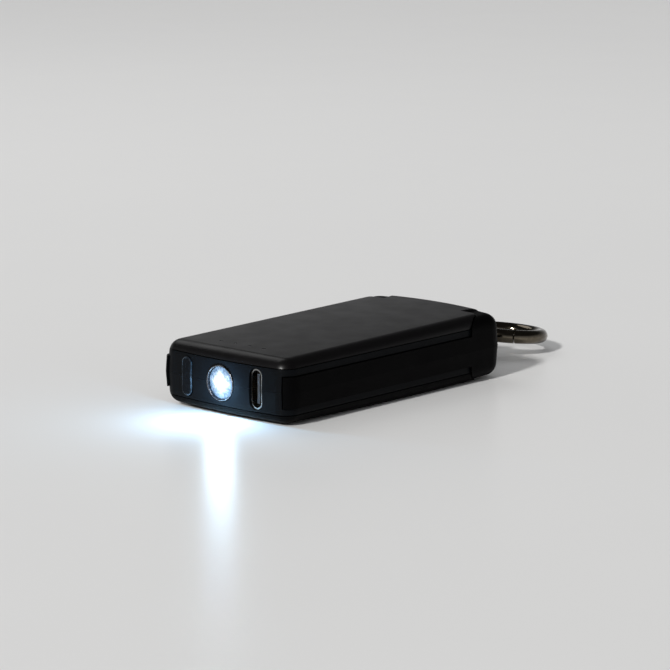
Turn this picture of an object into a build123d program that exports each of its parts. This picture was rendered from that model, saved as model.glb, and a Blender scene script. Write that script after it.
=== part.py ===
from build123d import *
import math
import os

# Keychain flashlight: a flat rounded case with a lamp, a charging socket and a button in its front
# face, a bumper frame round its sides and rear corners, and a snap ring on a hinged swivel link.
# Millimetres. +Z is up, the front faces -Y, and the origin is under the middle of the case, on the
# plane that the case rests on.

# ---- driving dimensions ----
body_length = 75.2
body_width = 38.2
body_height = 15.5
mid_z = body_height / 2

front_bow_radius = 138.0
rear_bow_radius = 120.0
front_corner_radius = 3.9
rear_corner_radius = 3.6
body_draft = 3.0
edge_roll = 3.0
crown_radius = 450.0
top_z = body_height + 0.1
top_slope = 0.6
arch_radius = 1400.0
arch_peak_y = 10.0
rest_flat_depth = 0.12

cover_bottom = 13.0
deck_top = 12.78
deck_thickness = 1.1
wall_inset = 2.9
cavity_rear = 28.3
parting_gap = 0.06

frame_proud = 0.6
frame_draft = 4.0
frame_drop = 0.45
frame_depth = 1.6
band_half_height = 3.46
frame_wrap = 58.0
wrap_gap = 5.0
frame_gap = 0.2
ear_gap = 0.28
seam_start_y = 21.0
seam_side_y = 25.9
seam_bend_x = 16.4
seam_bend_radius = 2.0
seam_inner_y = 30.6
tongue_half_width = 12.0
tongue_flare = 1.4
tongue_flare_y = 37.2
tongue_end_flare = 1.8
block_half_width = 14.0
block_front_y = 31.0
link_slot_gap = 0.2
link_slot_depth = 3.1

button_x = -10.5
socket_x = 10.3
lens_radius = 3.66
bezel_radius = 4.0
bezel_wall = 0.3
bezel_proud = 0.12
bezel_gap = 0.06
lens_back = -33.35
lens_recess = 0.15
lens_edge = 0.2
lens_rim_length = 0.85
lens_cone_radius = 2.1
lens_hollow_mouth = 1.7
lens_hollow_end = 1.5
lens_hollow_depth = 1.3
seal_length = 0.45
seal_wall = 0.32
emitter_half = 1.6
emitter_height = 0.6
dome_radius = 1.1
dome_round = 0.9

pill_height = 8.8
pill_width = 3.0
pill_gap = 0.16
button_proud = 0.25
button_edge = 0.3
button_rear_y = -35.0
flange_y = (-35.65, -34.95)
flange_taller = 0.2
flange_wider = 2.0
pocket_front_y = -35.7
pocket_taller = 0.3
pocket_wider = 2.6
front_wall_rear_y = -33.0

socket_height = 8.94
socket_width = 3.26
socket_wall = 0.3
socket_depth = 7.3
socket_recess = 0.5
socket_gap = 0.15

board_thickness = 0.8
main_board_x = (-15.0, 8.4)
main_board_y = (-31.5, -15.6)
main_board_z = 10.0
main_board_corner = 0.8
led_board_x = (-15.0, 6.2)
led_board_y = -32.6
led_board_top = 9.7
upright_board_half = 3.6
usb_board_y = (-33.0, -22.5)
switch_half = 1.8
switch_depth = 1.4
switch_stem_radius = 0.9
switch_stem_end = -34.42
tongue_blade_half = 0.35
tongue_blade_reach = 3.3
tongue_root = 1.4
tongue_setback = 0.6

cell_x = (-14.8, 14.8)
cell_y = (-10.2, 22.8)
cell_z = (4.25, 10.9)
cell_round = 1.4
cell_tab_half = 10.8
cell_tab_length = 2.0
cell_tab_z = (7.0, 8.2)
pad_x = (-12.0, 12.0)
pad_y = (-7.0, 20.0)
pad_z = (3.85, 4.23)
battery_wire_radius = 0.4
battery_wire_bend = 1.2
battery_wire_x = (-4.0, 2.0)
led_wire_radius = 0.35
led_wire_bend = 1.3
led_wire_x = (-5.0, 2.5)

gauge_count = 4
gauge_pitch = 4.33
gauge_y = -30.4
gauge_hole_radius = 0.45
gauge_pipe_radius = 0.4
gauge_pipe_foot = 11.45
adhesive_inset = 1.3

screw_x = 14.0
screw_y = (-13.0, 25.6)
upper_boss_radius = 2.0
lower_boss_radius = 2.3
boss_root = 0.5
pilot_radius = 0.83
pilot_end_z = 11.2
shank_radius = 0.8
shank_hole_radius = 0.95
shank_end_z = 10.6
head_radius = 1.45
head_height = 0.9
counterbore_radius = 1.6
driver_length = 1.9
driver_width = 0.4
driver_depth = 0.8

pin_y = 35.2
pin_radius = 1.0
running_gap = 0.04
press_gap = 0.01
link_width = 5.0
link_eye_radius = 2.6
link_arm_end = 43.0
link_arm_half_height = 1.5
link_arm_round = 0.8
collar_radius = 2.7
collar_start = 42.0
collar_gap = 0.1
stem_radius = 1.25
stem_y = (44.0, 49.6)
stem_head_radius = 1.9
stem_head_y = (49.0, 49.9)
lug_pin_half = 5.9
pin_hole_half = 6.0
barrel_start = 46.2
barrel_radius = 2.9
barrel_edge = 0.5
barrel_bite = 0.4
barrel_bore_end = 49.0
barrel_head_room = (48.9, 50.0)
ring_droop = 7.2
ring_radius = 8.9
ring_wire = 1.65
ring_y = 61.4
gate_start = -34.5
gate_end = 66.0
gate_gap = 0.36
hinge_lean = 28.0
nose_lean = 46.0
cut_reach = 3.4
pin_along = 3.0
pin_inward = -0.4
gate_pin_radius = 0.45
gate_pin_half = 1.5
tongue_radius = 1.0
tongue_half = 0.55
tongue_root_length = 1.2
tongue_slot_gap = 0.08
tongue_nose_gap = 0.12
spring_radius = 0.5
spring_wire = 0.11
spring_pitch = 0.52
spring_height = 2.6
spring_start = 1.3
spring_bore_gap = 0.25
spring_bore_start = 0.8
spring_bore_length = 3.4

# limits that lie well outside the case
wide = (-30.0, 30.0)
long = (-50.0, 50.0)
tall = (0.0, 20.0)
ahead_y = -40.0
behind_y = 50.0
outside_x = 22.5

os.makedirs("parts", exist_ok=True)


# ---- helpers ----
def save(shape, name):
    export_step(shape, f"parts/{name}.step")


def box(x, y, z):
    """Box between two limits along each axis."""
    size = [pair[1] - pair[0] for pair in (x, y, z)]
    centre = [(pair[0] + pair[1]) / 2 for pair in (x, y, z)]
    return Pos(*centre) * Box(*size)


def both_sides(shape):
    return shape + mirror(shape, about=Plane.YZ)


def flip(shape):
    """Mirror in the mid plane of the case."""
    return mirror(shape, about=Plane.XY.offset(mid_z))


def rod_y(radius, y, x=0.0, z=mid_z):
    """Cylinder along Y between two Y limits."""
    place = Pos(x, (y[0] + y[1]) / 2, z) * Rot(90, 0, 0)
    return place * Cylinder(radius, y[1] - y[0])


def rod_z(radius, z, x=0.0, y=0.0):
    return Pos(x, y, (z[0] + z[1]) / 2) * Cylinder(radius, z[1] - z[0])


def rod_x(radius, half_length, y, z=mid_z):
    return Pos(0, y, z) * Rot(0, 90, 0) * Cylinder(radius, 2 * half_length)


def group(shapes):
    return Compound(children=list(shapes))


def pill(height, width, y, x):
    """Upright slot shape between two Y limits."""
    face = Plane.XZ * SlotOverall(height, width, rotation=90)
    solid = extrude(face, amount=y[1] - y[0])
    return Pos(x, y[1], mid_z) * solid


def outline(inset=0.0):
    """Plan of the case: straight sides, bowed ends, rounded corners, drawn in by inset."""
    half_width = body_width / 2 - inset
    half_length = body_length / 2 - inset
    front_y = -half_length + half_width**2 / (2 * front_bow_radius)
    rear_y = half_length - half_width**2 / (2 * rear_bow_radius)
    edges = [
        ThreePointArc((-half_width, front_y), (0, -half_length), (half_width, front_y)),
        Line((half_width, front_y), (half_width, rear_y)),
        ThreePointArc((half_width, rear_y), (0, half_length), (-half_width, rear_y)),
        Line((-half_width, rear_y), (-half_width, front_y)),
    ]
    face = make_face(edges)
    front = [v for v in face.vertices() if v.Y < 0]
    face = fillet(front, max(front_corner_radius - inset, 0.5))
    rear = [v for v in face.vertices() if v.Y > 0 and abs(v.X) > half_width - 0.01]
    return fillet(rear, max(rear_corner_radius - inset, 0.5))


def column(inset, z):
    """Straight-sided block on the plan, between two Z limits."""
    return Pos(0, 0, z[0]) * extrude(outline(inset), amount=z[1] - z[0])


def front_clearance(wrap):
    """Block in front of the frame's arms, which end part of the way round the front corners."""
    corner_x = body_width / 2 - front_corner_radius
    corner_y = -body_length / 2 + body_width**2 / (8 * front_bow_radius) + front_corner_radius
    a = math.radians(wrap)
    reach = body_height
    far_point = (corner_x + reach * math.cos(a), corner_y - reach * math.sin(a))
    points = [(corner_x, corner_y), far_point, (0, -body_length), (0, corner_y)]
    return both_sides(extrude(make_face(Polyline(*points, close=True)), amount=body_height))


def crowned_cap(top):
    """Barrel under a top that is crowned across the case and falls slightly towards the front."""
    barrel = Pos(0, 0, -crown_radius) * Rot(90, 0, 0) * Cylinder(crown_radius, 3 * body_length)
    return Pos(0, 0, top) * Rot(top_slope, 0, 0) * barrel


def arched_cap(top):
    """Drum under a top that is arched along the case."""
    drum = Rot(0, 90, 0) * Cylinder(arch_radius, 3 * body_width)
    return Pos(0, arch_peak_y, top - arch_radius) * drum


def half_form(inset, draft, cap):
    """Upper half of the case's outer shape: drafted sides and a rolled rim under the cap."""
    block = Pos(0, 0, mid_z) * extrude(outline(inset), amount=mid_z + edge_roll, taper=draft)
    block = block & cap
    rim = [e for e in block.edges() if e.bounding_box().min.Z > body_height - edge_roll]
    return fillet(rim, edge_roll)


def ear_zone(gap):
    """Both rear corner regions that the frame's ears take up in the covers and housings."""
    points = [
        (outside_x, seam_start_y),
        (body_width / 2, seam_side_y),
        (seam_bend_x, seam_inner_y + 0.1),
        (tongue_half_width, seam_inner_y),
        (tongue_half_width + tongue_flare, tongue_flare_y),
        (tongue_half_width + tongue_end_flare, behind_y),
        (outside_x, behind_y),
    ]
    face = make_face(Polyline(*points, close=True))
    bend = [v for v in face.vertices() if abs(v.X - seam_bend_x) < 0.01]
    face = fillet(bend, seam_bend_radius)
    if gap:
        face = offset(face, amount=gap)
    return both_sides(Pos(0, 0, -mid_z) * extrude(face, amount=2 * body_height))


# ---- outer case ----
front_y = -body_length / 2
socket_front = front_y + socket_x**2 / (2 * front_bow_radius) + socket_recess
upper_form = half_form(0.0, body_draft, crowned_cap(top_z))
lower_form = flip(half_form(0.0, body_draft, arched_cap(body_height + rest_flat_depth)))
ears_cut = ear_zone(ear_gap)
gauge_x = [(i - (gauge_count - 1) / 2) * gauge_pitch for i in range(gauge_count)]


def make_gauge_holes():
    through = (mid_z, 2 * body_height)
    return [rod_z(gauge_hole_radius, through, x, gauge_y) for x in gauge_x]


def make_top_cover():
    cover = upper_form & box(wide, long, (cover_bottom, tall[1]))
    cover = cover - ears_cut
    for hole in make_gauge_holes():
        cover = cover - hole
    return cover


def make_bottom_cover():
    low_edge = body_height - cover_bottom
    cover = lower_form & box(wide, long, (0, low_edge))
    return cover - ears_cut


def make_adhesive():
    """Upper sheet of double-sided tape between a cover and its housing."""
    sheet = column(adhesive_inset, (deck_top, cover_bottom)) - ear_zone(adhesive_inset)
    for x in gauge_x:
        sheet = sheet - rod_z(2 * gauge_hole_radius, (mid_z, body_height), x, gauge_y)
    return sheet


def make_shell_half():
    """Upper housing before its own holes: deck, side walls, and recesses for the frame."""
    slab = (mid_z + parting_gap / 2, deck_top)
    shell = upper_form & box(wide, long, slab)
    cavity = column(wall_inset, (mid_z - 1, deck_top - deck_thickness))
    shell = shell - (cavity & box(wide, (long[0], cavity_rear), tall))
    shell = shell - ears_cut
    recess_top = mid_z + band_half_height + frame_gap
    band = column(-edge_roll, (mid_z - 1, recess_top)) - column(frame_depth + ear_gap / 2, tall)
    shell = shell - (band - front_clearance(frame_wrap + wrap_gap))
    half = block_half_width + 1
    return shell - box((-half, half), (block_front_y - frame_gap, behind_y), (mid_z - 1, recess_top))


def cut_front_openings(shell):
    """Holes for the lamp, the charging socket and the button with its flange."""
    through = (ahead_y, front_wall_rear_y)
    shell = shell - rod_y(bezel_radius + bezel_gap, through)
    hole = (socket_height + 2 * socket_gap, socket_width + 2 * socket_gap)
    shell = shell - pill(*hole, (ahead_y, socket_front + socket_depth + socket_gap), socket_x)
    tall_opening = pill_height + 2 * pill_gap
    opening = pill(tall_opening, pill_width + 2 * pill_gap, through, button_x)
    pocket_y = (pocket_front_y, front_wall_rear_y)
    pocket = pill(tall_opening + pocket_taller, pill_width + pocket_wider, pocket_y, button_x)
    return shell - opening - pocket


screw_seat = body_height - deck_top + deck_thickness


def screw_places():
    return [(side * screw_x, y) for side in (-1, 1) for y in screw_y]


def make_upper_housing():
    shell = make_shell_half()
    for x, y in screw_places():
        shell = shell + rod_z(upper_boss_radius, (mid_z + parting_gap / 2, deck_top - boss_root), x, y)
        shell = shell - rod_z(pilot_radius, (mid_z - 1, pilot_end_z), x, y)
    for hole in make_gauge_holes():
        shell = shell - hole
    return cut_front_openings(shell)


def make_lower_housing():
    shell = flip(make_shell_half())
    for x, y in screw_places():
        shell = shell + rod_z(lower_boss_radius, (screw_seat - boss_root, mid_z - parting_gap / 2), x, y)
        shell = shell - rod_z(shank_hole_radius, (0, mid_z + 1), x, y)
        shell = shell - rod_z(counterbore_radius, (0, screw_seat), x, y)
    return cut_front_openings(shell)


def make_screws():
    """Four small pan-head screws, driven from below under the bottom cover."""
    head_face = screw_seat - head_height
    screws = []
    for x, y in screw_places():
        head = rod_z(head_radius, (head_face, screw_seat), x, y)
        slot = Pos(x, y, head_face) * Box(driver_length, driver_width, driver_depth)
        cross = Pos(x, y, head_face) * Box(driver_width, driver_length, driver_depth)
        shank = rod_z(shank_radius, (screw_seat, shank_end_z), x, y)
        screws.append(head - slot - cross + shank)
    return group(screws)


def make_bumper_frame():
    """Side bands, full-height rear corners and the rear block that carries the ring's pin."""
    upper = half_form(-frame_proud, frame_draft, crowned_cap(top_z - frame_drop))
    lower = half_form(-frame_proud, frame_draft, arched_cap(body_height - frame_drop))
    form = upper + flip(lower)
    level = (mid_z - band_half_height, mid_z + band_half_height)
    band = form & box(wide, long, level)
    band = band - column(frame_depth, tall) - front_clearance(frame_wrap)
    block = form & box((-block_half_width, block_half_width), (block_front_y, behind_y), level)
    ears = form & ear_zone(0.0)
    frame = band + block + ears
    half_slot = link_width / 2 + link_slot_gap
    frame = frame - box((-half_slot, half_slot), (pin_y - link_slot_depth, behind_y), tall)
    return frame - rod_x(pin_radius + press_gap, pin_hole_half, pin_y)


# ---- lamp ----
def turned(points):
    """Solid of revolution about the lamp's axis from (radius, y) points."""
    profile = make_face(Polyline(*[(r, y, 0) for r, y in points], close=True))
    return Pos(0, 0, mid_z) * revolve(profile, Axis.Y)


def make_lens_bezel():
    inner = bezel_radius - bezel_wall
    ring = rod_y(bezel_radius, (front_y - bezel_proud, lens_back))
    ring = ring - rod_y(inner, (ahead_y, front_wall_rear_y))
    rim = [e for e in ring.edges() if e.center().Y < front_y]
    return fillet(rim, bezel_proud)


def make_lens():
    """Collimator: flat front, conical back and a hollow that the emitter's dome sits in."""
    face_y = front_y + lens_recess
    rim_y = face_y + lens_edge
    return turned([
        (0, face_y),
        (lens_radius - lens_edge, face_y),
        (lens_radius, rim_y),
        (lens_radius, rim_y + lens_rim_length),
        (lens_radius - 2 * lens_edge, rim_y + lens_rim_length),
        (lens_cone_radius, lens_back),
        (lens_hollow_mouth, lens_back),
        (lens_hollow_end, lens_back - lens_hollow_depth),
        (0, lens_back - lens_hollow_depth),
    ])


def make_lens_seal():
    start = front_y + lens_recess + lens_edge + lens_rim_length + 0.05
    ring = rod_y(lens_radius, (start, start + seal_length))
    return ring - rod_y(lens_radius - seal_wall, (ahead_y, front_wall_rear_y))


def make_led_emitter():
    half = emitter_half
    base_y = led_board_y - emitter_height
    base = box((-half, half), (base_y, led_board_y), (mid_z - half, mid_z + half))
    dome = rod_y(dome_radius, (base_y - dome_radius, base_y + emitter_height / 2))
    tip = [e for e in dome.edges() if e.center().Y < base_y]
    return base + fillet(tip, dome_round)


def make_led_board():
    rear = led_board_y + board_thickness
    return box(led_board_x, (led_board_y, rear), (mid_z - upright_board_half, led_board_top))


def make_power_button():
    """Pill-shaped cap that stands a little proud, with a wider flange behind the front wall."""
    face_y = front_y + button_x**2 / (2 * front_bow_radius) - button_proud
    cap = pill(pill_height, pill_width, (face_y, button_rear_y), button_x)
    rim = [e for e in cap.edges() if e.center().Y < face_y + 0.01]
    cap = fillet(rim, button_edge)
    flange = pill(pill_height + flange_taller, pill_width + flange_wider, flange_y, button_x)
    return cap + flange


def make_tact_switch():
    half = switch_half
    face_y = led_board_y - switch_depth
    body = box((button_x - half, button_x + half), (face_y, led_board_y), (mid_z - half, mid_z + half))
    return body + rod_y(switch_stem_radius, (switch_stem_end, face_y), button_x)


# ---- charging socket and electronics ----
def make_usb_c_shell():
    y = (socket_front, socket_front + socket_depth)
    shell = pill(socket_height, socket_width, y, socket_x)
    inner = (socket_height - 2 * socket_wall, socket_width - 2 * socket_wall)
    return shell - pill(*inner, (y[0] - 1, y[1] + 1), socket_x)


def make_usb_c_tongue():
    rear = socket_front + socket_depth
    loss = 2 * (socket_wall + press_gap)
    block = pill(socket_height - loss, socket_width - loss, (rear - tongue_root, rear), socket_x)
    blade_x = (socket_x - tongue_blade_half, socket_x + tongue_blade_half)
    blade_z = (mid_z - tongue_blade_reach, mid_z + tongue_blade_reach)
    blade = box(blade_x, (socket_front + tongue_setback, rear - tongue_root / 2), blade_z)
    return block + blade


def make_usb_board():
    left = socket_x + socket_width / 2 + 0.05
    z = (mid_z - upright_board_half, mid_z + upright_board_half)
    return box((left, left + board_thickness), usb_board_y, z)


def make_main_board():
    top = main_board_z + board_thickness
    board = box(main_board_x, main_board_y, (main_board_z, top))
    return fillet(board.edges().filter_by(Axis.Z), main_board_corner)


def make_board_components():
    """Inductor, charge and control chips and small capacitors on both sides of the main board."""
    low = main_board_z
    high = main_board_z + board_thickness
    parts = [
        box((3.0, 8.0), (-25.5, -20.5), (low - 2.6, low)),
        box((-4.5, -0.5), (-25.0, -21.0), (low - 0.9, low)),
        box((-12.5, -9.5), (-25.5, -22.5), (low - 0.9, low)),
    ]
    for i in range(4):
        x = -12.0 + 2.4 * i
        parts.append(box((x, x + 1.6), (-19.0, -18.2), (high, high + 0.6)))
    return group(parts)


def make_gauge_leds():
    top = main_board_z + board_thickness
    y = (gauge_y - 0.3, gauge_y + 0.3)
    return group(box((x - 0.5, x + 0.5), y, (top, top + 0.5)) for x in gauge_x)


def make_gauge_light_pipes():
    """Four thin dark rods that end flush in the top cover and show the battery's charge."""
    pipes = []
    for x in gauge_x:
        fall = x**2 / (2 * crown_radius) - gauge_y * math.tan(math.radians(top_slope))
        top = top_z - fall - 0.05
        pipes.append(rod_z(gauge_pipe_radius, (gauge_pipe_foot, top), x, gauge_y))
    return group(pipes)


def make_battery_cell():
    cell = box(cell_x, cell_y, cell_z)
    cell = fillet(cell.edges().filter_by(Axis.Y), cell_round)
    tab_y = (cell_y[0] - cell_tab_length, cell_y[0])
    return cell + box((-cell_tab_half, cell_tab_half), tab_y, cell_tab_z)


def make_battery_pad():
    return box(pad_x, pad_y, pad_z)


def wire(points, radius, bend):
    path = FilletPolyline(*points, radius=bend)
    start = Plane(origin=path @ 0, z_dir=path % 0)
    return sweep(start * Circle(radius), path)


def make_battery_leads():
    leads = []
    start = cell_y[0] - cell_tab_length
    low = (cell_tab_z[0] + cell_tab_z[1]) / 2
    high = main_board_z - battery_wire_radius - 0.05
    for x in battery_wire_x:
        points = [(x, start, low), (x, start - 2.2, low), (x, start - 4.0, high), (x, start - 6.8, high)]
        leads.append(wire(points, battery_wire_radius, battery_wire_bend))
    return group(leads)


def make_led_leads():
    rear = led_board_y + board_thickness
    leads = []
    turn_y = rear + 2 * led_wire_bend
    for x in led_wire_x:
        points = [(x, rear, 6.4), (x, turn_y, 6.4), (x, turn_y, main_board_z)]
        leads.append(wire(points, led_wire_radius, led_wire_bend))
    return group(leads)


# ---- ring and swivel link, drawn level and then drooped about the pin ----
def droop(shape):
    centre = Pos(0, pin_y, mid_z)
    return centre * Rot(-ring_droop, 0, 0) * Pos(0, -pin_y, -mid_z) * shape


def make_lug_link():
    """Eye on the frame's pin, a flat arm, and a headed stem that the ring's barrel turns on."""
    half = link_width / 2
    link = rod_x(link_eye_radius, half, pin_y)
    arm_z = (mid_z - link_arm_half_height, mid_z + link_arm_half_height)
    link = link + box((-half, half), (pin_y, link_arm_end), arm_z)
    link = fillet(link.edges().filter_by(Axis.Z), link_arm_round)
    link = link + rod_y(collar_radius, (collar_start, barrel_start - collar_gap))
    link = link + rod_y(stem_radius, stem_y) + rod_y(stem_head_radius, stem_head_y)
    return link - rod_x(pin_radius + running_gap, pin_hole_half, pin_y)


def make_swivel_barrel():
    barrel = rod_y(barrel_radius, (barrel_start, ring_y - ring_radius - barrel_bite))
    rim = [e for e in barrel.edges() if e.center().Y < barrel_start + 0.01]
    barrel = fillet(rim, barrel_edge)
    barrel = barrel - rod_y(stem_radius + running_gap, (pin_y, barrel_bore_end))
    barrel = barrel - rod_y(stem_head_radius + running_gap, barrel_head_room)
    return barrel - ring_torus()


def ring_torus(wire_radius=ring_wire):
    return Pos(0, ring_y, mid_z) * Torus(ring_radius, wire_radius)


def ring_point(angle, radial=0.0, along=0.0):
    """Point in the ring's plane: polar angle, offset outwards and offset along the wire."""
    a = math.radians(angle)
    r = ring_radius + radial
    x = r * math.cos(a) - along * math.sin(a)
    y = ring_y + r * math.sin(a) + along * math.cos(a)
    return x, y


def leaning_cut(angle, lean):
    """Inner and outer ends of a straight cut through the wire that leans from the radial line."""
    x, y = ring_point(angle)
    a = math.radians(angle - lean)
    reach = (cut_reach * math.cos(a), cut_reach * math.sin(a))
    return (x - reach[0], y - reach[1]), (x + reach[0], y + reach[1])


def gate_sector(shift):
    """Block that holds the gate's part of the ring, narrowed at both ends by shift."""
    turn = math.degrees(shift / ring_radius)
    start_inner, start_outer = leaning_cut(gate_start + turn, hinge_lean)
    end_inner, end_outer = leaning_cut(gate_end - turn, nose_lean)
    far_start = ring_point(gate_start - 10, 14)
    far_end = ring_point(gate_end - 5, 14)
    points = [start_inner, start_outer, far_start, far_end, end_outer, end_inner]
    face = make_face(Polyline(*points, close=True))
    return Pos(0, 0, mid_z - 4) * extrude(face, amount=8)


def at_gate_pin():
    """Place on the gate's pin, with X outwards and Y along the wire towards the gate's nose."""
    angle = gate_start + math.degrees(pin_along / ring_radius)
    x, y = ring_point(angle, pin_inward)
    return Pos(x, y, mid_z) * Rot(0, 0, angle)


def make_snap_ring():
    """Ring with a gap for the gate, and a thin rounded tongue that holds the gate's pin."""
    ring = ring_torus() - gate_sector(-gate_gap / 2)
    size = (2 * tongue_radius, pin_along + tongue_root_length, 2 * tongue_half)
    bar = Pos(0, -size[1] / 2, 0) * Box(*size)
    tongue = at_gate_pin() * (bar + Cylinder(tongue_radius, 2 * tongue_half))
    ring = ring + (tongue & ring_torus())
    return ring - at_gate_pin() * Cylinder(gate_pin_radius + running_gap, 4 * gate_pin_half)


def make_snap_gate():
    gate = ring_torus() & gate_sector(gate_gap / 2)
    half = tongue_half + tongue_slot_gap
    reach = tongue_radius + tongue_nose_gap
    slot = Cylinder(reach, 2 * half) + Pos(reach / 2 - 2, -4, 0) * Box(reach + 4, 8, 2 * half)
    bore = Cylinder(spring_radius + spring_bore_gap, spring_bore_length)
    bore = Pos(0, spring_bore_start + spring_bore_length / 2, 0) * Rot(90, 0, 0) * bore
    gate = gate - at_gate_pin() * slot - at_gate_pin() * bore
    return gate - at_gate_pin() * Cylinder(gate_pin_radius + press_gap, 4 * gate_pin_half)


def make_gate_pin():
    return at_gate_pin() * Cylinder(gate_pin_radius, 2 * gate_pin_half)


def make_gate_spring():
    """Small coil spring in the gate's bore, behind the tongue."""
    coil = Helix(pitch=spring_pitch, height=spring_height, radius=spring_radius)
    start = Plane(origin=coil @ 0, z_dir=coil % 0)
    spring = sweep(start * Circle(spring_wire), coil, is_frenet=True)
    return at_gate_pin() * Pos(0, spring_start, 0) * Rot(-90, 0, 0) * spring


def make_lug_pin():
    return rod_x(pin_radius, lug_pin_half, pin_y)


# ---- output ----
upper_adhesive = make_adhesive()

parts = {
    "top_cover": make_top_cover(),
    "bottom_cover": make_bottom_cover(),
    "top_cover_tape": upper_adhesive,
    "bottom_cover_tape": flip(upper_adhesive),
    "upper_housing": make_upper_housing(),
    "lower_housing": make_lower_housing(),
    "housing_screws": make_screws(),
    "bumper_frame": make_bumper_frame(),
    "lens_bezel": make_lens_bezel(),
    "lens": make_lens(),
    "lens_seal": make_lens_seal(),
    "led_emitter": make_led_emitter(),
    "led_board": make_led_board(),
    "power_button": make_power_button(),
    "tact_switch": make_tact_switch(),
    "usb_c_shell": make_usb_c_shell(),
    "usb_c_tongue": make_usb_c_tongue(),
    "usb_board": make_usb_board(),
    "main_board": make_main_board(),
    "board_components": make_board_components(),
    "gauge_leds": make_gauge_leds(),
    "gauge_light_pipes": make_gauge_light_pipes(),
    "battery_cell": make_battery_cell(),
    "battery_pad": make_battery_pad(),
    "battery_leads": make_battery_leads(),
    "led_leads": make_led_leads(),
    "lug_pin": make_lug_pin(),
    "lug_link": droop(make_lug_link()),
    "swivel_barrel": droop(make_swivel_barrel()),
    "snap_ring": droop(make_snap_ring()),
    "snap_gate": droop(make_snap_gate()),
    "gate_pin": droop(make_gate_pin()),
    "gate_spring": droop(make_gate_spring()),
}

for name, shape in parts.items():
    save(shape, name)
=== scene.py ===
import math

import bmesh
import bpy
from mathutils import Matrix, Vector


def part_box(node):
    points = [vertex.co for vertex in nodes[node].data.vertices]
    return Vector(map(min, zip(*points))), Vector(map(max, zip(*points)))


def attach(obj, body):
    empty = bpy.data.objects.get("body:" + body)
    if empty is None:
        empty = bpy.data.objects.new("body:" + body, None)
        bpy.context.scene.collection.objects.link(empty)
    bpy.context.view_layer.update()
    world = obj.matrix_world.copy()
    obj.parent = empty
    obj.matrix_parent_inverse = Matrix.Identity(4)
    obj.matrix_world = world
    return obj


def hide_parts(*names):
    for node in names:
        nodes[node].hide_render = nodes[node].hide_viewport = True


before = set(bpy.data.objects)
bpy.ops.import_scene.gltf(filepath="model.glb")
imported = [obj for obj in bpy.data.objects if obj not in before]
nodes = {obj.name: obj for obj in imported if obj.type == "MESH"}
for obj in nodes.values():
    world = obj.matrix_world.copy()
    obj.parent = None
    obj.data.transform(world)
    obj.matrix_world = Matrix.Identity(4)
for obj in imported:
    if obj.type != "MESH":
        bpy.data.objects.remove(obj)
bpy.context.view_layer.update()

# Looks of the keychain flashlight, in metres. Each CAD node keeps its mesh and gets a procedural
# material. A few small pieces that the CAD part has no room for, such as the charging contacts,
# are made here and ride on the case.

MM = 0.001

# ---- places taken from the frame ----
lens_low, lens_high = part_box("lens")
lamp_centre = (lens_low + lens_high) / 2
lamp_radius = (lens_high.x - lens_low.x) / 2
lamp_front = lens_low.y
mid_height = (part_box("top_cover")[1].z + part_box("bottom_cover")[0].z) / 2

# ---- view and light ----
VIEW_AZIMUTH = math.radians(42.12)
VIEW_ELEVATION = math.radians(11.34)
VIEW_DISTANCE = 0.700
VIEW_LENS = 165.0
VIEW_RISE = 5.78 * MM
AIM_HEIGHT = 7.0 * MM
SENSOR_WIDTH = 36.0
CLIP_NEAR = 0.01
CLIP_FAR = 50.0

KEY_DIRECTION = Vector((0.22, -1.58, 1.0)).normalized()
KEY_STRENGTH = 3.3
KEY_SPREAD = math.radians(6.0)
KEY_COLOUR = (1.0, 0.990, 0.975)

LAMP_POWER = 0.0034
LAMP_LIGHT_GAP = 0.25 * MM
LAMP_LIGHT_SIZE = 1.4 * lamp_radius
LAMP_DIRECTION = Vector((0, -1, -0.02))
GLINT_POWER = 0.0065
HALO_POWER = 0.021
HALO_OFFSET = Vector((1.2, -3.4, -1.2)) * MM
HALO_SIZE = 1.5 * MM
HALO_COLOUR = (0.36, 0.68, 1.0)

CARD_DIRECTION = Vector((-0.66, 0.19, 0.73)).normalized()
CARD_DISTANCE = 0.8
CARD_SIZE = 0.5
CARD_POWER = 0.95

REFLECTED_LOW = 0.54
REFLECTED_HIGH = 0.04
REFLECTED_FROM = 0.05
REFLECTED_TO = 0.45
STUDIO_COLOUR = (0.985, 0.99, 1.0, 1.0)
AMBIENT = 0.42
BACKDROP = 0.62
FLOOR_SIZE = 8.0


# ---- node helpers ----
MIX_COLOURS = (6, 7)  # a Mix node has several inputs called A and B, and these two take colours
RANGE_INPUTS = ("From Min", "From Max", "To Min", "To Max")


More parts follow.
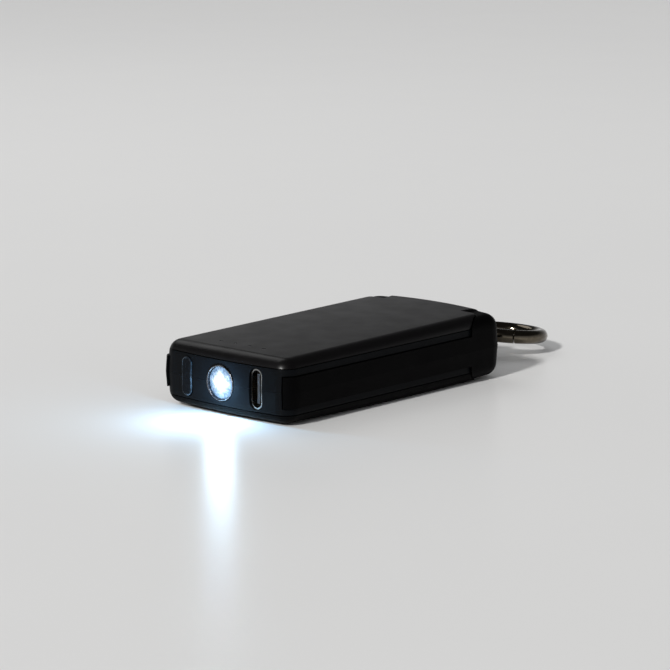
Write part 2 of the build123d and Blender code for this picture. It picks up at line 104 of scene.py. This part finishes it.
class Graph:
    """A material's node tree with short calls for the nodes used below."""

    def __init__(self, name):
        self.material = bpy.data.materials.new(name)
        self.material.use_nodes = True
        self.tree = self.material.node_tree
        self.shader = self.tree.nodes["Principled BSDF"]
        self.place = self.node("ShaderNodeTexCoord").outputs["Object"]

    def node(self, kind, **settings):
        made = self.tree.nodes.new(kind)
        for key, value in settings.items():
            setattr(made, key, value)
        return made

    def link(self, source, target):
        self.tree.links.new(source, target)

    def noise(self, size, detail=2.0, roughness=0.5, stretch=(1, 1, 1)):
        """Noise from 0 to 1 whose features are about size metres across."""
        mapping = self.node("ShaderNodeMapping")
        mapping.inputs["Scale"].default_value = stretch
        self.link(self.place, mapping.inputs["Vector"])
        made = self.node("ShaderNodeTexNoise")
        made.inputs["Scale"].default_value = 1 / size
        made.inputs["Detail"].default_value = detail
        made.inputs["Roughness"].default_value = roughness
        self.link(mapping.outputs["Vector"], made.inputs["Vector"])
        return made.outputs["Fac"]

    def remap(self, source, low, high, to_low, to_high):
        made = self.node("ShaderNodeMapRange")
        for name, value in zip(RANGE_INPUTS, (low, high, to_low, to_high)):
            made.inputs[name].default_value = value
        self.link(source, made.inputs["Value"])
        return made.outputs["Result"]

    def maths(self, operation, first, second=0.0):
        made = self.node("ShaderNodeMath", operation=operation)
        for socket, value in zip(made.inputs, (first, second)):
            if isinstance(value, (int, float)):
                socket.default_value = value
            else:
                self.link(value, socket)
        return made.outputs[0]

    def mix(self, factor, first, second):
        """Mixes two colours, each a socket or an (r, g, b)."""
        made = self.node("ShaderNodeMix", data_type="RGBA")
        self.link(factor, made.inputs["Factor"])
        for index, value in zip(MIX_COLOURS, (first, second)):
            if isinstance(value, tuple):
                made.inputs[index].default_value = (*value, 1.0)
            else:
                self.link(value, made.inputs[index])
        return [s for s in made.outputs if s.type == "RGBA"][0]

    def edges(self, radius, low=0.02, high=0.35):
        """1 on the outer edges of the piece and 0 on its flat faces."""
        bevel = self.node("ShaderNodeBevel", samples=4)
        bevel.inputs["Radius"].default_value = radius
        normal = self.node("ShaderNodeNewGeometry").outputs["Normal"]
        dot = self.node("ShaderNodeVectorMath", operation="DOT_PRODUCT")
        self.link(bevel.outputs["Normal"], dot.inputs[0])
        self.link(normal, dot.inputs[1])
        bend = self.maths("SUBTRACT", 1.0, dot.outputs["Value"])
        return self.remap(bend, low, high, 0.0, 1.0)

    def bump(self, layers):
        """Stacks bumps: each layer is a height socket, a strength and a depth in metres."""
        normal = None
        for height, strength, depth in layers:
            made = self.node("ShaderNodeBump")
            made.inputs["Strength"].default_value = strength
            made.inputs["Distance"].default_value = depth
            self.link(height, made.inputs["Height"])
            if normal is not None:
                self.link(normal, made.inputs["Normal"])
            normal = made.outputs["Normal"]
        self.link(normal, self.shader.inputs["Normal"])


def surface(name, base, dark, rough, grain=0.2 * MM, depth=0.01 * MM, strength=0.3,
            patch=9 * MM, edge_wear_and_highlight=None, edge_radius=0.25 * MM, edge_amount=0.5, edge_bend=(0.02, 0.35),
            stretch=(1, 1, 1), fleck=1.35, **sockets):
    """A finished material: patchy colour, coloured edges, uneven roughness, and grain over soft waves.

    The edge colour is wear on most pieces and a painted highlight on the button; the edge settings give
    its colour, the width and strength of the edge, and how far a surface turns before the edge colour
    starts and is full. fleck is how much lighter the grain's specks are than the base, and sockets set the
    shader's own inputs.
    """
    graph = Graph(name)
    patches = graph.noise(patch, detail=4.0, stretch=stretch)
    speckle = graph.noise(grain * 2, detail=2.0, stretch=stretch)
    colour = graph.mix(graph.remap(patches, 0.35, 0.65, 0.0, 1.0), dark, base)
    tint = tuple(min(1.0, c * fleck) for c in base)
    colour = graph.mix(graph.remap(speckle, 0.5, 0.8, 0.0, 0.6), colour, tint)
    low, high = rough
    dullness = graph.remap(graph.noise(patch / 3, detail=5.0, stretch=stretch), 0.3, 0.7, low, high)
    # Edge colour: wear on most pieces; on the button it is a painted highlight, the lamp's light on its
    # rim.
    if edge_wear_and_highlight:
        edge_breakup = graph.noise(1.2 * MM, detail=5.0, roughness=0.7)
        edge_breakup = graph.remap(edge_breakup, 0.42, 0.62, 0.15, edge_amount)
        worn_and_lit_edges = graph.maths("MULTIPLY", graph.edges(edge_radius, *edge_bend), edge_breakup)
        colour = graph.mix(worn_and_lit_edges, colour, edge_wear_and_highlight)
        dullness = graph.maths("SUBTRACT", dullness, graph.maths("MULTIPLY", worn_and_lit_edges, 0.12))
    graph.link(colour, graph.shader.inputs["Base Color"])
    graph.link(dullness, graph.shader.inputs["Roughness"])
    graph.bump([
        (graph.noise(patch / 2, detail=2.0, stretch=stretch), strength * 0.4, depth * 4),
        (graph.noise(grain, detail=3.0, stretch=stretch), strength, depth),
    ])
    for key, value in sockets.items():
        graph.shader.inputs[key.replace("_", " ")].default_value = value
    return graph


def dress(names, graph):
    for name in names.split():
        mesh = nodes[name].data
        mesh.materials.clear()
        mesh.materials.append(graph.material)


# ---- moulded pieces ----
soft_touch = surface(
    "soft_touch", (0.0026, 0.0023, 0.0026), (0.0021, 0.0019, 0.0021), (0.32, 0.37),
    grain=0.16 * MM, depth=0.004 * MM, strength=0.30, patch=14 * MM,
    edge_wear_and_highlight=(0.0060, 0.0056, 0.0060), edge_radius=0.35 * MM, edge_amount=0.5, IOR=1.28,
)
dress("top_cover", soft_touch)

# The bottom cover is the same soft-touch plastic as the top; this darker copy of its colour is painted
# shade for the downward-facing cover.
soft_touch_painted_shade = surface(
    "soft_touch_painted_shade", (0.0016, 0.0015, 0.0016), (0.0012, 0.0011, 0.0012), (0.50, 0.60),
    grain=0.16 * MM, depth=0.004 * MM, strength=0.30, patch=14 * MM,
    edge_wear_and_highlight=(0.0040, 0.0038, 0.0040), edge_radius=0.35 * MM, edge_amount=0.5, IOR=1.10,
)
dress("bottom_cover", soft_touch_painted_shade)

housing = surface(
    "housing", (0.0028, 0.0033, 0.0040), (0.0022, 0.0026, 0.0032), (0.34, 0.42),
    grain=0.12 * MM, depth=0.004 * MM, patch=8 * MM,
    edge_wear_and_highlight=(0.008, 0.0095, 0.012), edge_radius=0.12 * MM, edge_amount=0.6, IOR=1.12,
)
dress("upper_housing lower_housing", housing)

bumper = surface(
    "bumper", (0.0011, 0.0010, 0.0011), (0.0008, 0.0008, 0.0009), (0.44, 0.54),
    grain=0.22 * MM, depth=0.008 * MM, strength=0.35, patch=11 * MM,
    edge_wear_and_highlight=(0.0036, 0.0034, 0.0036), edge_radius=0.3 * MM, edge_amount=0.6, IOR=1.10,
)
dress("bumper_frame", bumper)

# The button's edge colour is a painted highlight: the lamp's blue light caught all round the button's rim,
# not wear.
button = surface(
    "button", (0.0032, 0.0036, 0.0044), (0.0024, 0.0028, 0.0035), (0.24, 0.32),
    grain=0.1 * MM, depth=0.003 * MM, patch=4 * MM,
    edge_wear_and_highlight=(0.38, 0.50, 0.64), edge_radius=0.24 * MM, edge_amount=1.0, edge_bend=(0.006, 0.07),
    IOR=1.14,
)
dress("power_button", button)

# ---- metal ----
gunmetal = surface(
    "gunmetal", (0.140, 0.120, 0.092), (0.092, 0.078, 0.060), (0.09, 0.15),
    grain=0.35 * MM, depth=0.003 * MM, strength=0.2, patch=3 * MM,
    edge_wear_and_highlight=(0.42, 0.37, 0.28), edge_radius=0.12 * MM, edge_amount=0.8, Metallic=1.0,
)
dress("snap_ring snap_gate swivel_barrel lug_link", gunmetal)

pin_steel = surface(
    "pin_steel", (0.36, 0.35, 0.33), (0.24, 0.23, 0.22), (0.24, 0.36),
    grain=0.15 * MM, depth=0.003 * MM, patch=1.5 * MM,
    edge_wear_and_highlight=(0.55, 0.53, 0.5), edge_radius=0.06 * MM, Metallic=1.0,
)
dress("gate_pin gate_spring lug_pin housing_screws", pin_steel)

socket_steel = surface(
    "socket_steel", (0.30, 0.30, 0.29), (0.20, 0.20, 0.20), (0.18, 0.28),
    grain=0.12 * MM, depth=0.002 * MM, patch=2 * MM, stretch=(1, 0.15, 1),
    edge_wear_and_highlight=(0.55, 0.54, 0.52), edge_radius=0.07 * MM, Metallic=1.0,
)
dress("usb_c_shell", socket_steel)

bezel = surface(
    "bezel", (0.20, 0.21, 0.23), (0.12, 0.125, 0.14), (0.20, 0.32),
    grain=0.1 * MM, depth=0.002 * MM, patch=1.2 * MM,
    edge_wear_and_highlight=(0.55, 0.57, 0.6), edge_radius=0.06 * MM, Metallic=1.0,
)
dress("lens_bezel", bezel)

# ---- inside ----
socket_plastic = surface("socket_plastic", (0.020, 0.020, 0.022), (0.012, 0.012, 0.014), (0.34, 0.46),
                         grain=0.08 * MM, depth=0.002 * MM, patch=1 * MM, edge_wear_and_highlight=(0.07, 0.07, 0.075),
                         edge_radius=0.05 * MM)
dress("usb_c_tongue tact_switch", socket_plastic)

board_black = surface("board_black", (0.012, 0.020, 0.016), (0.007, 0.012, 0.010), (0.28, 0.42),
                      grain=0.25 * MM, depth=0.003 * MM, patch=3 * MM, edge_wear_and_highlight=(0.12, 0.11, 0.07),
                      edge_radius=0.08 * MM)
dress("main_board usb_board", board_black)

board_white = surface("board_white", (0.66, 0.66, 0.63), (0.56, 0.56, 0.54), (0.35, 0.5),
                      grain=0.2 * MM, depth=0.002 * MM, patch=2 * MM, edge_wear_and_highlight=(0.45, 0.42, 0.36),
                      edge_radius=0.08 * MM)
dress("led_board", board_white)

chips = surface("chips", (0.030, 0.029, 0.029), (0.020, 0.020, 0.020), (0.45, 0.62),
                grain=0.1 * MM, depth=0.003 * MM, patch=1 * MM, edge_wear_and_highlight=(0.16, 0.15, 0.14),
                edge_radius=0.06 * MM)
dress("board_components", chips)

foil = surface("battery_foil", (0.52, 0.52, 0.54), (0.40, 0.40, 0.43), (0.28, 0.46),
               grain=0.5 * MM, depth=0.02 * MM, strength=0.4, patch=6 * MM, edge_wear_and_highlight=(0.7, 0.7, 0.72),
               edge_radius=0.2 * MM, Metallic=0.7)
dress("battery_cell", foil)

tape = surface("tape", (0.035, 0.035, 0.036), (0.024, 0.024, 0.026), (0.6, 0.75),
               grain=0.3 * MM, depth=0.01 * MM, patch=5 * MM, edge_wear_and_highlight=(0.07, 0.07, 0.07),
               edge_radius=0.05 * MM)
dress("top_cover_tape bottom_cover_tape battery_pad", tape)

seal = surface("seal_rubber", (0.025, 0.025, 0.026), (0.016, 0.016, 0.018), (0.5, 0.65),
               grain=0.1 * MM, depth=0.004 * MM, patch=1 * MM, edge_wear_and_highlight=(0.05, 0.05, 0.05),
               edge_radius=0.06 * MM)
dress("lens_seal", seal)

wire = surface("wire_red", (0.42, 0.022, 0.018), (0.30, 0.014, 0.012), (0.32, 0.45),
               grain=0.2 * MM, depth=0.003 * MM, patch=2 * MM, edge_wear_and_highlight=(0.5, 0.07, 0.05),
               edge_radius=0.05 * MM)
dress("battery_leads led_leads", wire)

smoked = surface("smoked_pipe", (0.006, 0.006, 0.007), (0.003, 0.003, 0.004), (0.18, 0.28),
                 grain=0.1 * MM, depth=0.001 * MM, patch=0.5 * MM, edge_wear_and_highlight=(0.02, 0.02, 0.022),
                 edge_radius=0.05 * MM, IOR=1.49)
dress("gauge_light_pipes", smoked)

led_plastic = surface("led_plastic", (0.72, 0.68, 0.42), (0.60, 0.55, 0.30), (0.3, 0.42),
                      grain=0.1 * MM, depth=0.001 * MM, patch=0.4 * MM, edge_wear_and_highlight=(0.85, 0.83, 0.7),
                      edge_radius=0.05 * MM)
dress("gauge_leds led_emitter", led_plastic)


# ---- lamp ----
LAMP_COLOUR = (0.60, 0.82, 1.0)
LAMP_CORE_COLOUR = (0.90, 0.96, 1.0)
LAMP_EDGE_COLOUR = (0.44, 0.68, 1.0)
LAMP_CORE = 4.6
LAMP_SPIKE = 1.6
LAMP_EDGE = 0.78
LAMP_SEGMENTS = 96
LAMP_FACETS = 8
LAMP_FACET_DEPTH = 0.10 * MM
LENS_DOME_DEPTH = 0.30 * MM
LENS_DOME_SHARES = (0.0, 0.12, 0.25, 0.40, 0.55, 0.70, 0.82, 0.91)
LENS_RIM = ((0.965, 0.32), (0.99, 0.42), (1.0, 0.55), (1.0, 1.20), (0.90, 1.22))
LENS_BACK_GAP = 0.01 * MM
LENS_HOLLOW = 1.3 * MM
LENS_SHARP_ANGLE = math.radians(40)


def make_lamp_material():
    """Lit collimator: a white core with a cross of facets, falling to a blue-grey outer zone."""
    graph = surface("lens_clear", (0.020, 0.026, 0.034), (0.012, 0.016, 0.022), (0.03, 0.08),
                    grain=0.4 * MM, depth=0.002 * MM, strength=0.15, patch=1.5 * MM,
                    edge_wear_and_highlight=(0.05, 0.06, 0.08), edge_radius=0.1 * MM, IOR=1.49)
    split = graph.node("ShaderNodeSeparateXYZ")
    graph.link(graph.place, split.inputs["Vector"])
    across = graph.maths("SUBTRACT", split.outputs["X"], lamp_centre.x)
    up = graph.maths("SUBTRACT", split.outputs["Z"], lamp_centre.z)
    across_squared = graph.maths("MULTIPLY", across, across)
    squared = graph.maths("ADD", across_squared, graph.maths("MULTIPLY", up, up))
    radius = graph.maths("DIVIDE", graph.maths("SQRT", squared), lamp_radius)
    ragged = graph.remap(graph.noise(1.0 * MM, detail=4.0, roughness=0.6), 0.3, 0.7, -0.16, 0.16)
    radius = graph.maths("ADD", radius, ragged)
    core = graph.maths("POWER", graph.remap(radius, 0.05, 0.72, 1.0, 0.0), 2.2)
    angle = graph.maths("ARCTAN2", up, across)
    cross = graph.maths("ABSOLUTE", graph.maths("COSINE", graph.maths("MULTIPLY", angle, 2.0)))
    cross = graph.maths("POWER", cross, 9.0)
    spikes = graph.maths("MULTIPLY", cross, graph.remap(radius, 0.15, 0.98, 1.0, 0.0))
    facets = graph.remap(graph.noise(0.55 * MM, detail=1.0, stretch=(1, 0.1, 1)), 0.35, 0.68, 0.35, 1.0)
    outer = graph.maths("MULTIPLY", facets, graph.remap(radius, 0.45, 1.05, 1.3, 0.45))
    glow = graph.maths("MULTIPLY", core, LAMP_CORE)
    glow = graph.maths("ADD", glow, graph.maths("MULTIPLY", spikes, LAMP_SPIKE))
    glow = graph.maths("ADD", glow, graph.maths("MULTIPLY", outer, LAMP_EDGE))
    colour = graph.mix(graph.remap(radius, 0.35, 0.95, 0.0, 1.0), LAMP_CORE_COLOUR, LAMP_EDGE_COLOUR)
    graph.link(glow, graph.shader.inputs["Emission Strength"])
    graph.link(colour, graph.shader.inputs["Emission Color"])
    return graph


def make_lamp_lens():
    """Moulded lens turned about the lamp's axis: a low faceted dome, a rounded rim and a cone behind.

    A point of its profile is a share of the radius and a depth behind the front.
    """
    end = lens_high.y - lens_low.y - LENS_BACK_GAP
    dome = [(share, LENS_DOME_DEPTH * share**2) for share in LENS_DOME_SHARES]
    rim = [(share, depth * MM) for share, depth in LENS_RIM]
    back = [(0.57, end), (0.47, end), (0.41, end + LENS_BACK_GAP - LENS_HOLLOW)]
    verts = []
    for ring, (share, y) in enumerate(dome + rim + back):
        faceted = LAMP_FACET_DEPTH * share if ring < len(dome) else 0.0
        for i in range(LAMP_SEGMENTS):
            turn = 2 * math.pi * i / LAMP_SEGMENTS
            ripple = faceted * abs(math.sin(LAMP_FACETS * turn / 2))
            x = lamp_centre.x + lamp_radius * share * math.cos(turn)
            z = lamp_centre.z + lamp_radius * share * math.sin(turn)
            verts.append((x, lens_low.y + y + ripple, z))
    rings = len(dome + rim + back)
    faces = []
    for ring in range(rings - 1):
        for i in range(LAMP_SEGMENTS):
            j = (i + 1) % LAMP_SEGMENTS
            a, b = ring * LAMP_SEGMENTS, (ring + 1) * LAMP_SEGMENTS
            faces.append((a + i, a + j, b + j, b + i))
    last = (rings - 1) * LAMP_SEGMENTS
    faces.append(tuple(last + i for i in range(LAMP_SEGMENTS)))
    mesh = bpy.data.meshes.new("lamp_lens")
    mesh.from_pydata(verts, [], faces)
    shape = bmesh.new()
    shape.from_mesh(mesh)
    bmesh.ops.remove_doubles(shape, verts=shape.verts, dist=0.001 * MM)
    bmesh.ops.recalc_face_normals(shape, faces=shape.faces)
    shape.to_mesh(mesh)
    shape.free()
    mesh.shade_smooth()
    mesh.set_sharp_from_angle(angle=LENS_SHARP_ANGLE)
    mesh.materials.append(make_lamp_material().material)
    add_piece(mesh)
    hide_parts("lens")


def add_piece(mesh):
    """Puts a mesh in the scene as a piece that rides on the case."""
    piece = bpy.data.objects.new(mesh.name, mesh)
    bpy.context.scene.collection.objects.link(piece)
    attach(piece, "case")


# ---- charging contacts ----
TONGUE_HALF = 0.35 * MM
CONTACT_PITCH = 0.5 * MM
CONTACT_COUNT = 12
CONTACT_LENGTH = 1.9 * MM
CONTACT_WIDTH = 0.26 * MM
CONTACT_RISE = 0.05 * MM
CONTACT_SETBACK = 0.5 * MM
CONTACT_ROUND = 0.02 * MM


def make_contacts():
    """Gold pads in a row on both faces of the charging socket's tongue."""
    low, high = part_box("usb_c_tongue")
    middle = (low + high) / 2
    shape = bmesh.new()
    for side in (-1, 1):
        for i in range(CONTACT_COUNT):
            made = bmesh.ops.create_cube(shape, size=1.0)["verts"]
            bmesh.ops.scale(shape, vec=(2 * CONTACT_RISE, CONTACT_LENGTH, CONTACT_WIDTH), verts=made)
            place = Vector((
                middle.x + side * TONGUE_HALF,
                low.y + CONTACT_SETBACK + CONTACT_LENGTH / 2,
                middle.z + (i - (CONTACT_COUNT - 1) / 2) * CONTACT_PITCH,
            ))
            bmesh.ops.translate(shape, vec=place, verts=made)
    bmesh.ops.bevel(shape, geom=shape.edges[:], offset=CONTACT_ROUND, segments=2, affect="EDGES")
    mesh = bpy.data.meshes.new("usb_contacts")
    shape.to_mesh(mesh)
    shape.free()
    gold = surface("contact_gold", (0.72, 0.52, 0.22), (0.58, 0.40, 0.16), (0.22, 0.34),
                   grain=0.05 * MM, depth=0.001 * MM, patch=0.3 * MM, edge_wear_and_highlight=(0.85, 0.7, 0.4),
                   edge_radius=0.02 * MM, Metallic=1.0)
    mesh.materials.append(gold.material)
    add_piece(mesh)


make_lamp_lens()
make_contacts()


# ---- floor, light and camera ----
def make_floor():
    half = FLOOR_SIZE / 2
    corners = [(-half, -half, 0), (half, -half, 0), (half, half, 0), (-half, half, 0)]
    mesh = bpy.data.meshes.new("floor")
    mesh.from_pydata(corners, [], [(0, 1, 2, 3)])
    floor = bpy.data.objects.new("floor", mesh)
    bpy.context.scene.collection.objects.link(floor)
    finish = surface("floor", (0.714, 0.714, 0.710), (0.708, 0.708, 0.705), (0.28, 0.31),
                     grain=0.5 * MM, depth=0.002 * MM, strength=0.03, patch=120 * MM, fleck=1.01, IOR=1.42)
    mesh.materials.append(finish.material)


def aim(thing, place, target):
    thing.location = place
    thing.rotation_mode = "QUATERNION"
    thing.rotation_quaternion = (target - place).to_track_quat("-Z", "Y")


def add_area(name, place, target, size, power, colour=(1, 1, 1), seen=True):
    light = bpy.data.lights.new(name, "AREA")
    light.shape = "DISK"
    light.size = size
    light.energy = power
    light.color = colour
    holder = bpy.data.objects.new(name, light)
    bpy.context.scene.collection.objects.link(holder)
    aim(holder, place, target)
    holder.visible_camera = False
    holder.visible_glossy = seen
    return holder


def make_world():
    """Studio round the object, which differs by kind of ray.

    Diffuse surfaces get even light, reflections a dimmer gradient, and the camera a pale colour past
    the floor.
    """
    world = bpy.data.worlds.new("studio")
    bpy.context.scene.world = world
    world.use_nodes = True
    tree = world.node_tree
    shade = tree.nodes["Background"]
    place = tree.nodes.new("ShaderNodeTexCoord")
    split = tree.nodes.new("ShaderNodeSeparateXYZ")
    ramp = tree.nodes.new("ShaderNodeMapRange")
    path = tree.nodes.new("ShaderNodeLightPath")
    tree.links.new(place.outputs["Generated"], split.inputs["Vector"])
    tree.links.new(split.outputs["Z"], ramp.inputs["Value"])
    for name, value in zip(RANGE_INPUTS, (REFLECTED_FROM, REFLECTED_TO, REFLECTED_LOW, REFLECTED_HIGH)):
        ramp.inputs[name].default_value = value
    strength = ramp.outputs["Result"]
    for ray, value in (("Is Diffuse Ray", AMBIENT), ("Is Camera Ray", BACKDROP)):
        mix = tree.nodes.new("ShaderNodeMix")
        tree.links.new(path.outputs[ray], mix.inputs["Factor"])
        tree.links.new(strength, mix.inputs["A"])
        mix.inputs["B"].default_value = value
        strength = mix.outputs["Result"]
    tree.links.new(strength, shade.inputs["Strength"])
    shade.inputs["Color"].default_value = STUDIO_COLOUR


def make_camera():
    a, e = VIEW_AZIMUTH, VIEW_ELEVATION
    back = Vector((math.sin(a) * math.cos(e), -math.cos(a) * math.cos(e), math.sin(e)))
    right = Vector((math.cos(a), math.sin(a), 0))
    target = Vector((0, 0, AIM_HEIGHT)) + back.cross(right) * VIEW_RISE
    data = bpy.data.cameras.new("camera")
    data.lens = VIEW_LENS
    data.sensor_width = SENSOR_WIDTH
    data.clip_start = CLIP_NEAR
    data.clip_end = CLIP_FAR
    camera = bpy.data.objects.new("camera", data)
    bpy.context.scene.collection.objects.link(camera)
    aim(camera, target + back * VIEW_DISTANCE, target)
    bpy.context.scene.camera = camera


def make_lights():
    middle = Vector((0, 0, mid_height))
    key = bpy.data.lights.new("key", "SUN")
    key.energy = KEY_STRENGTH
    key.angle = KEY_SPREAD
    key.color = KEY_COLOUR
    holder = bpy.data.objects.new("key", key)
    bpy.context.scene.collection.objects.link(holder)
    aim(holder, middle + KEY_DIRECTION, middle)
    lamp = Vector((lamp_centre.x, lamp_front - LAMP_LIGHT_GAP, lamp_centre.z))
    beam = lamp + LAMP_DIRECTION
    add_area("lamp_light", lamp, beam, LAMP_LIGHT_SIZE, LAMP_POWER, LAMP_COLOUR, seen=False)
    glint = add_area("lamp_glint", lamp, beam, LAMP_LIGHT_SIZE, GLINT_POWER, LAMP_COLOUR)
    glint.visible_diffuse = False
    add_area("card", middle + CARD_DIRECTION * CARD_DISTANCE, middle, CARD_SIZE, CARD_POWER)
    halo = bpy.data.lights.new("lamp_halo", "POINT")
    halo.energy = HALO_POWER
    halo.color = HALO_COLOUR
    halo.shadow_soft_size = HALO_SIZE
    holder = bpy.data.objects.new("lamp_halo", halo)
    bpy.context.scene.collection.objects.link(holder)
    holder.location = lamp + HALO_OFFSET
    holder.visible_camera = False
    holder.visible_glossy = False


make_floor()
make_world()
make_lights()
make_camera()
bpy.context.scene.view_settings.view_transform = "Standard"
